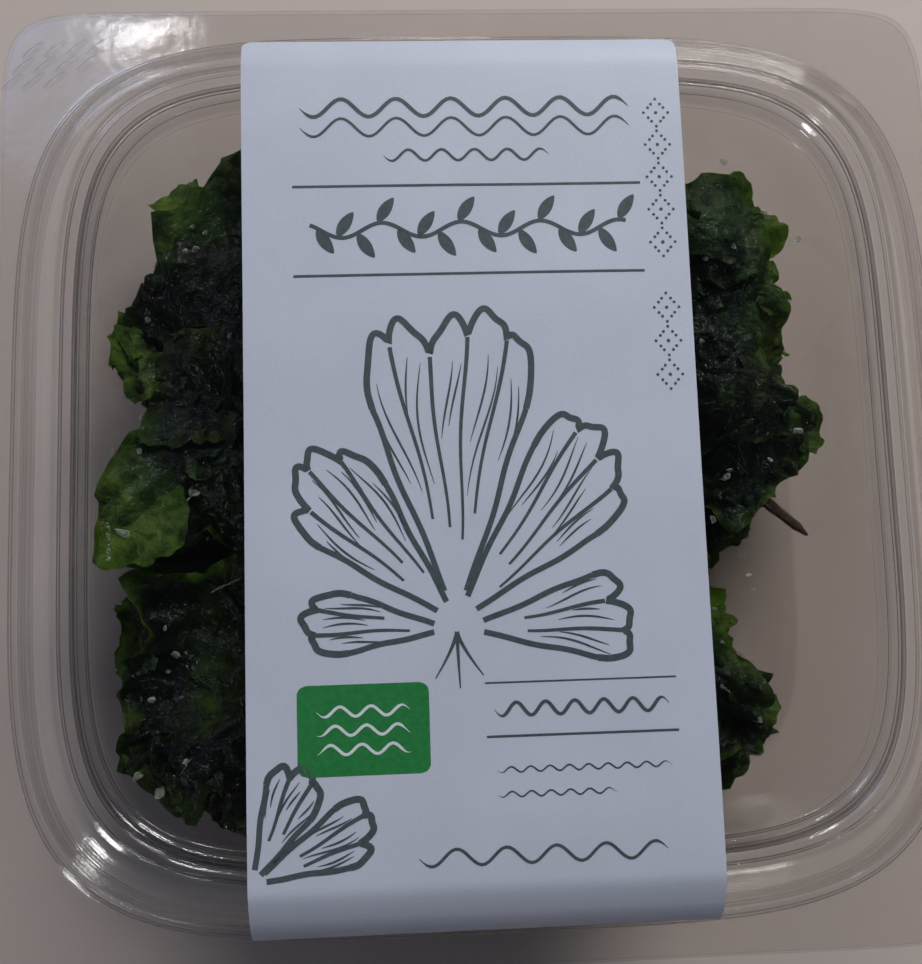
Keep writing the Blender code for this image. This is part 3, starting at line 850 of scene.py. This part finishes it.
def scrap(centre, size, turn, lean, seed, pile_top, lift, fold, stretch=1.0, calm=1.0, broad=False):
    """A torn, crumpled piece of blade that lies on the pile: points in mm, faces and each point's ring."""
    spokes, rings = (((50, 12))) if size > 5 else (((36, 8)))
    if broad:
        spokes, rings = 2 * spokes, 2 * rings
    ring, angle = round_grid(spokes, np.linspace(0.06, 1, rings) ** 0.9)
    edge = round_edge(angle, 3, seed * 0.77)
    ragged = (0.75 * (noise(edge, 2.2, seed) - 0.5) + 0.35 * (noise(edge, 0.8, seed + 1) - 0.5)
              + 0.16 * (noise(edge, 0.35, seed + 2) - 0.5))
    outline = (0.77 + calm * ragged).reshape(ring.shape)
    if broad:  # two straight edges
        outline = outline * (np.abs(np.cos(angle)) ** 4 + np.abs(np.sin(angle)) ** 4) ** -0.25
    u = size * ring * outline * np.cos(angle) * stretch
    v = size * ring * outline * np.sin(angle)
    w = np.zeros_like(u)
    if fold:  # the part past the fold lies back over the rest
        line = size * (0.12 + 0.3 * float(noise(np.array([[seed * 1.7, 3.1, 0.0]]), 1.0, 3)[0]))
        past, bend = v - line, 0.5
        w = np.where(past > 0, np.minimum(past, 2 * bend) * 0.55, 0)
        v = np.where(past > bend, line + bend - (past - bend) * 0.85, v)
    if broad:  # rolled along one side, and lifted at one end
        w = 0.75 * np.exp(-((u / size + 0.60) / 0.10) ** 2) - 0.33 * v
    x, y = turned(u, v, turn)
    x, y = x + centre[0], y + centre[1]
    z = w + math.tan(lean) * (u * math.cos(seed) + v * math.sin(seed))
    z = z + pile_top[cell_of(*centre) if broad else cell_of(x, y)] + lift
    points = np.stack([x, y, z], -1).reshape(-1, 3)
    points = points + crumple(points, seed + 11, (0.75 if size > 5 else 0.55) * calm)
    ring, angle = ring.reshape(-1), angle.reshape(-1)
    points[:, 2] += ring ** 3 * (1.2 * (noise(edge, 0.7, seed + 4) - 0.5)
                                 + 0.07 * size * np.sin(9 * angle + seed))
    points[:, 2] = np.clip(points[:, 2], CLUMP_LOW, LID_UNDER - 0.12)
    return np.vstack([points, points[:spokes].mean(0)]), capped_faces(rings, spokes), np.append(ring, 0)


def kept_in_tub(points):
    """Points that lie too near the tub's wall are moved in."""
    offset = np.interp(points[:, 2], [z for _, z in TUB_WALL], [o for o, _ in TUB_WALL]) - WALL_ROOM
    room = np.linalg.norm(rim_loop(np.arctan2(points[:, 1], points[:, 0]), offset), axis=1)
    share = np.minimum(1, room / np.linalg.norm(points[:, :2], axis=1))
    return points * np.stack([share, share, np.ones(len(points))], 1)


def add_scraps(material, surfaces):
    """Adds the scraps, and returns the map of the pile's top and the points of the broad flap."""
    top, sheets = pile_maps(surfaces)
    bank = top  # past its edge the pile falls away steeply
    for _ in range(30):
        spread = np.maximum.reduce(around(bank)) - BANK_DROP
        bank = np.where(top > BARE, top, np.maximum(np.maximum(bank, spread), BARE))
    smooth_top = blurred(bank, 14)
    random = np.random.default_rng(41)
    groups = {f"scraps_{way}_{side}": [] for way in ("back", "front") for side in ("left", "right")}

    def lay(part, thin_base, tone):
        points, faces, ring = part
        points = kept_in_tub(points)
        few = np.clip((5.0 - sheets[cell_of(*points.T[:2])]) / 4.0, 0, 1)
        zone = zone_light_and_shade(points)
        # thin paints light coming through: given per flap, more where few sheets lie, at a scrap's rim and at
        # the clump's rim
        thin = (thin_base + 0.5 * few * noise(points, 5.0, 2) + 0.2 * ring ** 5 * noise(points, 3.0, 8)
                + lit_edge(points, zone))
        # its own lightness, which differs at random, with the zones' painted light and shade
        tone = tone * 0.7 + 0.5 * (noise(points, 3.0, 4) - 0.5) + zone
        x, y = points[:, :2].mean(0)
        name = f"scraps_{'back' if y > 0 else 'front'}_{'left' if x < -1 else 'right'}"
        groups[name].append((points, faces, np.clip(thin, 0, 1), np.clip(tone, 0, 1)))

    for px, py, size, turn, bright, stretch, calm in FLAPS:
        broad = size > BROAD
        place = seen_at(px, py, 20.0 if broad else 15.0)
        part = scrap((place.x, place.y), size, math.radians(turn), 0.0 if broad else 0.05, px * 7 + py,
                     smooth_top, 0.7 if broad else 0.3, False, stretch, calm, broad)
        lay(part, bright, 0.8)
        if broad:
            flap, bare = part[0], place  # nothing lies on the broad flap
    count = 0
    while count < SCRAPS:
        x, y = random.uniform(-48, 43), random.uniform(-46, 43)
        size = float(random.choice([3.2, 4.2, 5.5, 7.0, 9.0]))
        if not in_clump(x, y) or math.hypot(x - bare.x, y - bare.y) < 4.5 + 0.45 * size:
            continue
        edge = any(not in_clump(x + size * 0.72 * math.cos(a), y + size * 0.72 * math.sin(a))
                   for a in turns(8))
        if edge and size > 4.5:
            continue
        count += 1
        part = scrap((x, y), size, random.uniform(0, 6.3), random.uniform(-0.3, 0.3),
                     int(random.integers(1, 900)), smooth_top, random.uniform(-0.6, 0.9),
                     random.random() < 0.6)
        lay(part, 0.0, random.uniform(0, 1) ** 1.6)
    for name, parts in groups.items():
        thin, tone = (np.concatenate([part[k] for part in parts]) for k in (2, 3))
        add_piece(name, *joined(parts), material, "sea_lettuce", 180, {"thin": thin, "tone": tone})
    return top, flap


# ---- salt grains and the stalk
# (pixel x, pixel y, size in mm) of the grains that show
GRAINS = ((127, 533, 2.3), (121, 334, 0.8), (148, 320, 0.8), (185, 364, 1.0), (192, 228, 0.9),
          (205, 233, 0.7), (143, 418, 1.0), (196, 490, 2.0), (238, 548, 1.2), (152, 700, 1.2),
          (176, 655, 1.3), (205, 470, 0.8), (140, 452, 0.9), (186, 760, 1.0), (714, 222, 1.3),
          (763, 213, 0.9), (733, 248, 0.8), (705, 258, 1.1), (701, 342, 0.9), (753, 376, 1.6),
          (736, 413, 1.0), (788, 420, 0.9), (797, 432, 1.3), (729, 470, 0.8), (741, 655, 1.1),
          (728, 690, 1.2), (712, 520, 1.0), (758, 720, 0.9))
# grains and drops that stick to the underside of the lid
STUCK = ((797, 240, 1.3), (723, 163, 1.1), (748, 575, 0.9), (742, 556, 0.8), (752, 590, 0.7), (112, 452, 0.8))
BRIGHT_STRAND, BRIGHT_STRAND_CELL = ((211, 593), (219, 588), (231, 583), (243, 577)), (-27.0, -8.5)
STALK = ((25.6, 3.2, 0.4), (31.0, -1.1, 0.0), (35.9, -5.4, 0.3), (41.2, -10.0, 0.2))


def grain(x, y, z, size, seed, flat=0.55):
    """An irregular crystal that lies at that place: the hull of a few random points, with worn edges."""
    random = np.random.default_rng(seed)
    corners = random.normal(size=(11, 3))
    corners = unit(corners) * size * random.uniform(0.42, 0.58, (11, 1))
    corners = np.sign(corners) * np.abs(corners) ** 0.8 * [1, random.uniform(0.6, 0.9), flat]
    shape = bmesh.new()
    for corner in corners:
        shape.verts.new(corner)
    bmesh.ops.convex_hull(shape, input=shape.verts)
    bmesh.ops.bevel(shape, geom=list(shape.edges), offset=0.05 * size, segments=1, affect="EDGES")
    bmesh.ops.triangulate(shape, faces=shape.faces)
    shape.verts.index_update()
    points = np.array([v.co for v in shape.verts])
    faces = [tuple(v.index for v in f.verts) for f in shape.faces]
    shape.free()
    turn = Matrix.Rotation(random.uniform(0, 6.3), 3, "Z")
    points = points @ np.array(turn @ Matrix.Rotation(random.uniform(-0.5, 0.5), 3, "X")).T
    return points + np.array([x, y, z - points[:, 2].min()]), faces


def thread(line, radius):
    """A thin wet strand along the line (n, 3), in mm."""
    sides, count = 6, len(line)
    rings, faces = tube_rings(line, sides)
    order = np.arange(count)
    size = radius * np.clip(np.minimum(order, count - 1 - order) / 2 + 0.3, 0, 1)
    points = line[:, None] + rings * size[:, None, None]
    ends = [tuple(range(sides))[::-1], tuple(range((count - 1) * sides, count * sides))]
    return points.reshape(-1, 3), faces + ends


def add_salt(material, top, flap):
    parts = []
    for k, py in enumerate(np.linspace(499, 559, 20)):  # a row of beads along the flap's rolled edge
        height = 21.0
        for _ in range(4):
            place = seen_at(108.5 + 0.8 * math.sin(k * 2.1), py, height)
            height = flap[np.argmin(np.linalg.norm(flap[:, :2] - [place.x, place.y], axis=1)), 2]
        parts.append(grain(place.x, place.y, height + 0.02, 0.34 + 0.14 * math.sin(k * 1.7), 300 + k, 0.8))
    for k, (px, py, size) in enumerate(GRAINS):
        place = seen_at(px, py, 20.0)
        for _ in range(4):
            height = float(top[cell_of(place.x, place.y)])
            place = seen_at(px, py, height)
        parts.append(grain(place.x, place.y, height + 0.05, size, k))
    for k, (px, py, size) in enumerate(STUCK):
        place = seen_at(px, py, 25.5)
        parts.append(grain(place.x, place.y, 25.62, size, 200 + k, 0.2))
    # a thin whitish strand that lies along a bright line across the dark blades
    height = float(top[cell_of(*BRIGHT_STRAND_CELL)]) + 0.8
    line = np.array([seen_at(px, py, height) for px, py in BRIGHT_STRAND])
    parts.append(thread(smooth_line(line, 0.4), 0.10))
    random = np.random.default_rng(5)
    while len(parts) < len(GRAINS) + len(STUCK) + LOOSE_GRAINS:
        x, y = random.uniform(-44, 40), random.uniform(-42, 40)
        if in_clump(x, y):
            height = float(top[cell_of(x, y)]) + 0.05
            parts.append(grain(x, y, height, float(random.choice([0.5, 0.7, 0.9, 1.2, 1.7])), len(parts)))
    points, faces = joined(parts)
    points[:, 2] = np.minimum(points[:, 2], LID_UNDER)
    add_piece("salt_grains", points, faces, material, "sea_lettuce")


def add_stalk(material):
    """A short brown stalk with a knotted skin and a torn, frayed end."""
    low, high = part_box("stalk_fragment")
    line = smooth_line(STALK, 0.3)
    sides, count = 18, len(line)
    rings, faces = tube_rings(line, sides)
    share = np.linspace(0, 1, count)
    radius = 0.82 * (1 - 0.28 * share) * np.clip(np.minimum(share * 14 + 0.3, (1 - share) * 9 + 0.35), 0, 1)
    knots = 0.14 * np.exp(-((share - 0.72) / 0.03) ** 2) + 0.10 * np.exp(-((share - 0.45) / 0.04) ** 2)
    rough = noise((rings * 1.4 + line[:, None] * 1.6).reshape(-1, 3), 1.0, 6).reshape(count, sides)
    skin = 1 + 0.22 * (rough - 0.5) + knots[:, None] / 0.7
    points = (line[:, None] + rings * (radius[:, None] * skin)[..., None]).reshape(-1, 3)
    points = np.vstack([points, line[:1], line[-1:] + unit(line[-1:] - line[-2:-1]) * 0.25])
    points[:, 2] += (low.z + high.z) / 2 / MM - 0.1
    root, tip, last = count * sides, count * sides + 1, (count - 1) * sides
    for c in range(sides):
        after = (c + 1) % sides
        faces += [(root, after, c), (tip, last + c, last + after)]
    piece = add_piece("stalk", points, faces, material, "stalk", smooth=180)
    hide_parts("stalk_fragment")


# ---- the print on the band
INK = 0.03  # mm, how far the ink lies above the paper
# All in mm: widths across the band, and distances down it from its top end.
# (from, to, down, height, length, line width) of each wave, and (from, to, down, line width) of each rule
WAVES = ((-21.5, 18.5, 9.5, 1.15, 6.66, 0.5), (-21.5, 18.5, 12.0, 1.15, 6.66, 0.34),
         (-11.5, 8.5, 15.6, 0.7, 4.0, 0.34), (-0.5, 19.5, 81.6, 0.75, 3.34, 0.42),
         (-0.5, 19.5, 88.3, 0.3, 2.2, 0.2), (-0.5, 13.0, 91.0, 0.3, 2.2, 0.2),
         (-9.5, 18.5, 97.6, 0.9, 5.6, 0.36))
RULES = ((-22.5, 19.5, 19.4, 0.32), (-22.5, 19.5, 30.4, 0.32), (-1.5, 20.5, 84.6, 0.28),
         (-1.5, 20.5, 78.6, 0.2))
# (root, first angle, last angle, size, lobes, seed) of each fan in the large spray, and in the small one
# that the band's left edge cuts off
FANS = (((-4.5, 71.5), 2.62, 2.02, 25.0, 4, 3), ((-4.5, 71.5), 1.92, 1.22, 35.0, 5, 8),
        ((-4.5, 71.5), 1.12, 0.52, 27.5, 4, 5), ((-5.5, 72.3), 3.35, 2.78, 16.5, 3, 11),
        ((-3.5, 72.3), 0.36, -0.25, 19.0, 3, 14), ((-27.9, 99.5), 1.42, 0.80, 13.0, 3, 21),
        ((-27.9, 99.5), 0.70, 0.12, 15.0, 3, 23))
ROOTLETS = ((-2.6, 5.2), (0.2, 6.4), (2.9, 5.0))  # how far each runs across and down
TWIG, TWIG_SWAY = 24.9, 0.66
PANEL = (-22.8, 78.2, -7.9, 88.3)  # left, top, right and bottom of the green panel
DIAMONDS, DIAMOND_APART, DIAMOND_X = ((10.5, 5), (35.0, 3)), 4.1, 21.9


def stroke(x, t, width, above=INK):
    """A flat inked line on the paper, through places x across and t down the band."""
    line = np.stack([x, np.broadcast_to(t, np.shape(x))], 1)
    ahead = np.gradient(line, axis=0)
    ahead /= np.maximum(np.linalg.norm(ahead, axis=1), 1e-9)[:, None]
    side = np.stack([-ahead[:, 1], ahead[:, 0]], 1) * np.broadcast_to(width, len(line))[:, None] / 2
    points = np.vstack([band_point(*edge.T, above) for edge in (line + side, line - side)])
    n = len(line)
    return points, [(k, k + 1, n + k + 1, n + k) for k in range(n - 1)]


def dot(x, t, radius):
    angle = turns(8)
    return band_point(x + radius * np.cos(angle), t - radius * np.sin(angle), INK), [tuple(range(8))]


def rule(x0, x1, t, width):
    return stroke(np.linspace(x0, x1, max(3, int((x1 - x0) / 0.8))), t, width)


def wave(x0, x1, t, height, length, width, above=INK, phase=0.0):
    x = np.linspace(x0, x1, max(8, int((x1 - x0) / length * 14)))
    ends = np.clip(np.minimum(x - x0, x1 - x) / 1.2, 0.15, 1)
    return stroke(x, t + height * np.sin(2 * math.pi * (x - x0) / length + phase), width * ends, above)


def fan(base, start, end, size, lobes, seed):
    """A ruffled fan of a blade, drawn in lines: its edge, its two sides and its creases."""
    random = np.random.default_rng(seed)
    count = 26 * lobes
    along = np.linspace(0, 1, count)
    heights = 1 + random.uniform(-0.10, 0.10, lobes + 1)
    lobe = np.abs(np.sin(math.pi * lobes * along)) ** 0.45
    lengths = size * np.interp(along * lobes, np.arange(lobes + 1), heights)
    crown = 0.86 + 0.14 * np.sin(math.pi * along) ** 0.6
    radius = lengths * crown * (0.90 + 0.10 * lobe + 0.012 * np.sin(2 * math.pi * lobes * 1.5 * along + seed))

    def drawn(r, a, width):
        return stroke(base[0] + r * np.cos(a), base[1] - r * np.sin(a), width)

    strokes = [drawn(radius, np.linspace(start, end, count), 0.78)]
    for k, side in ((0, start), (-1, end)):
        part = np.linspace(0.14, 1, 22)
        bend = 0.07 * np.sin(part * 9 + seed + k) * part * (1 - part)
        strokes.append(drawn(radius[k] * part, side + bend, 0.66))
    for k in range(1, lobes):
        part = np.linspace(random.uniform(0.25, 0.5), 0.985, 18)
        notch = start + (end - start) * k / lobes + 0.05 * np.sin(part * 7 + k) * (1 - part)
        strokes.append(drawn(radius[int(count * k / lobes)] * part, notch, 0.2 + 0.32 * part))
    for k in range(lobes):
        for shift, inner in ((0.33, 0.62), (0.62, 0.55)):
            at = (k + shift) / lobes
            part = np.linspace(random.uniform(inner - 0.15, inner + 0.1), random.uniform(0.82, 0.93), 12)
            crease = start + (end - start) * at + 0.04 * np.sin(part * 8 + k + seed)
            strokes.append(drawn(radius[min(count - 1, int(count * at))] * part, crease,
                                 0.26 * np.sin(np.linspace(0.25, math.pi - 0.25, 12))))
    return strokes


def leafy_twig():
    stem = np.linspace(-20.5, 17.5, 90)
    parts = [stroke(stem, TWIG + 0.9 * np.sin(stem * TWIG_SWAY), 0.5)]
    part = np.linspace(0, 1, 16)
    for k in range(16):
        x, way = -19.6 + k * 2.42, -1 if k % 2 else 1
        parts.append(stroke(x + 1.9 * part, TWIG + 0.9 * math.sin(x * TWIG_SWAY) + way * 3.1 * part ** 0.8,
                            0.12 + 1.35 * np.sin(math.pi * part ** 0.8) ** 0.8))
    return parts


def diamond(middle):
    """A diamond of dots with one in its middle."""
    parts = [dot(DIAMOND_X, middle, 0.22)]
    for turn in turns(12):
        x, t = math.cos(turn), math.sin(turn)
        size = abs(x) + abs(t)
        parts.append(dot(DIAMOND_X + 1.5 * x / size, middle + 1.75 * t / size, 0.19))
    return parts


def rounded_panel(x0, t0, x1, t1, radius, columns=24):
    run = np.unique(np.concatenate([np.linspace(t0, t1, 18), np.linspace(t0, t0 + radius, 7),
                                    np.linspace(t1 - radius, t1, 7)]))
    rows = []
    for t in run:
        cut = corner_cut(radius, max(0.0, radius - (t - t0), radius - (t1 - t)))
        rows.append(band_point(np.linspace(x1 - cut, x0 + cut, columns), np.full(columns, t), INK))
    return np.vstack(rows), grid_faces(len(run), columns)


def add_print():
    parts = [wave(*row) for row in WAVES] + [rule(*row) for row in RULES] + leafy_twig()
    for row in FANS:
        parts += fan(*row)
    (x, t), part = FANS[0][0], np.linspace(0, 1, 14)
    for across, down in ROOTLETS:
        parts.append(stroke(x + across * part ** 1.3, t + 1.2 + down * part, 0.5 - 0.36 * part))
    for start, repeats in DIAMONDS:
        for k in range(repeats):
            parts += diamond(start + DIAMOND_APART * k)
    slate = ink_material("slate_ink", (0.040, 0.062, 0.066), (0.056, 0.082, 0.088))
    add_piece("label_print", *joined(parts), slate, "label_paper")
    green = ink_material("green_ink", (0.008, 0.15, 0.032), (0.012, 0.19, 0.042))
    add_piece("label_mark", *rounded_panel(*PANEL, 1.1), green, "label_paper")
    white = ink_material("bare_paper", (0.55, 0.62, 0.62), (0.60, 0.66, 0.68))
    parts = [wave(-20.6, -10.1, 81.2 + 2.1 * k, 0.55, 3.5, 0.34, 2 * INK, k) for k in range(3)]
    add_piece("label_mark_waves", *joined(parts), white, "label_paper")


add_world()
add_floor()
add_lights()
paths = bpy.context.scene.cycles
paths.transparent_max_bounces = 40  # the rim is up to 16 faces deep
paths.max_bounces, paths.diffuse_bounces, paths.glossy_bounces = 6, 3, 3
paths.caustics_reflective = False
plastic, weed = plastic_material(), weed_material()
sheet_shell("tub", TUB_FINE, TUB_FLANGE, plastic)
sheet_shell("lid", LID_FINE, LID_FLANGE, plastic)
add_grips(plastic)
add_band(paper_material())
add_print()
top, flap = add_scraps(weed, add_blades(weed))
add_salt(salt_material(), top, flap)
add_stalk(bark_material())

bpy.context.scene.view_settings.view_transform = "Standard"
